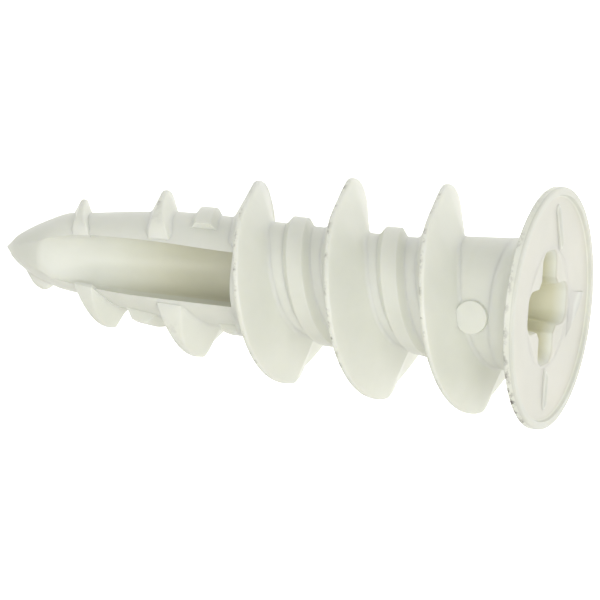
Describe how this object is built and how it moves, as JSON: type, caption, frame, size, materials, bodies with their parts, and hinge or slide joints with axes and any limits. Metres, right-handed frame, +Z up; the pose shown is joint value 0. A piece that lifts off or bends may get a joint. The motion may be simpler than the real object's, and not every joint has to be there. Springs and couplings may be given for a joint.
{
  "type": "wall anchor",
  "caption": "Self-drilling plasterboard anchor: deep coarse thread, dished flanged head with cross recess, bored shank and open-troughed drill nose.",
  "frame": {"origin": "centre of the head's front rim plane, on the anchor's axis", "axes": "+X along the axis out of the wall, from drill point to head; +Z up, across the two mould-parting sides; the trough in the nose opens towards -Y"},
  "size_m": [0.0324, 0.013, 0.013],
  "materials": {
    "nylon": "satin"
  },
  "bodies": {
    "shank": {"head_flange": "nylon", "drive_socket": "nylon", "face_rib_upper": "nylon", "face_rib_lower": "nylon", "neck": "nylon", "ejector_mark": "nylon", "core_tube": "nylon", "high_thread": "nylon", "low_thread": "nylon"},
    "nose": {"nose_shell": "nylon", "drill_point": "nylon", "point_lug": "nylon", "nose_flight_1": "nylon", "nose_flight_2": "nylon", "nose_flight_3": "nylon", "nose_low_flight_1": "nylon", "nose_low_flight_2": "nylon"}
  },
  "joints": [
    {"name": "nose_flex", "type": "hinge", "parent": "shank", "child": "nose", "pos_m": [-0.0175, 0.003, 0], "axis": [0, 0, -1], "range_deg": [0, 10], "stiffness_Nm_per_rad": 0.3}
  ]
}
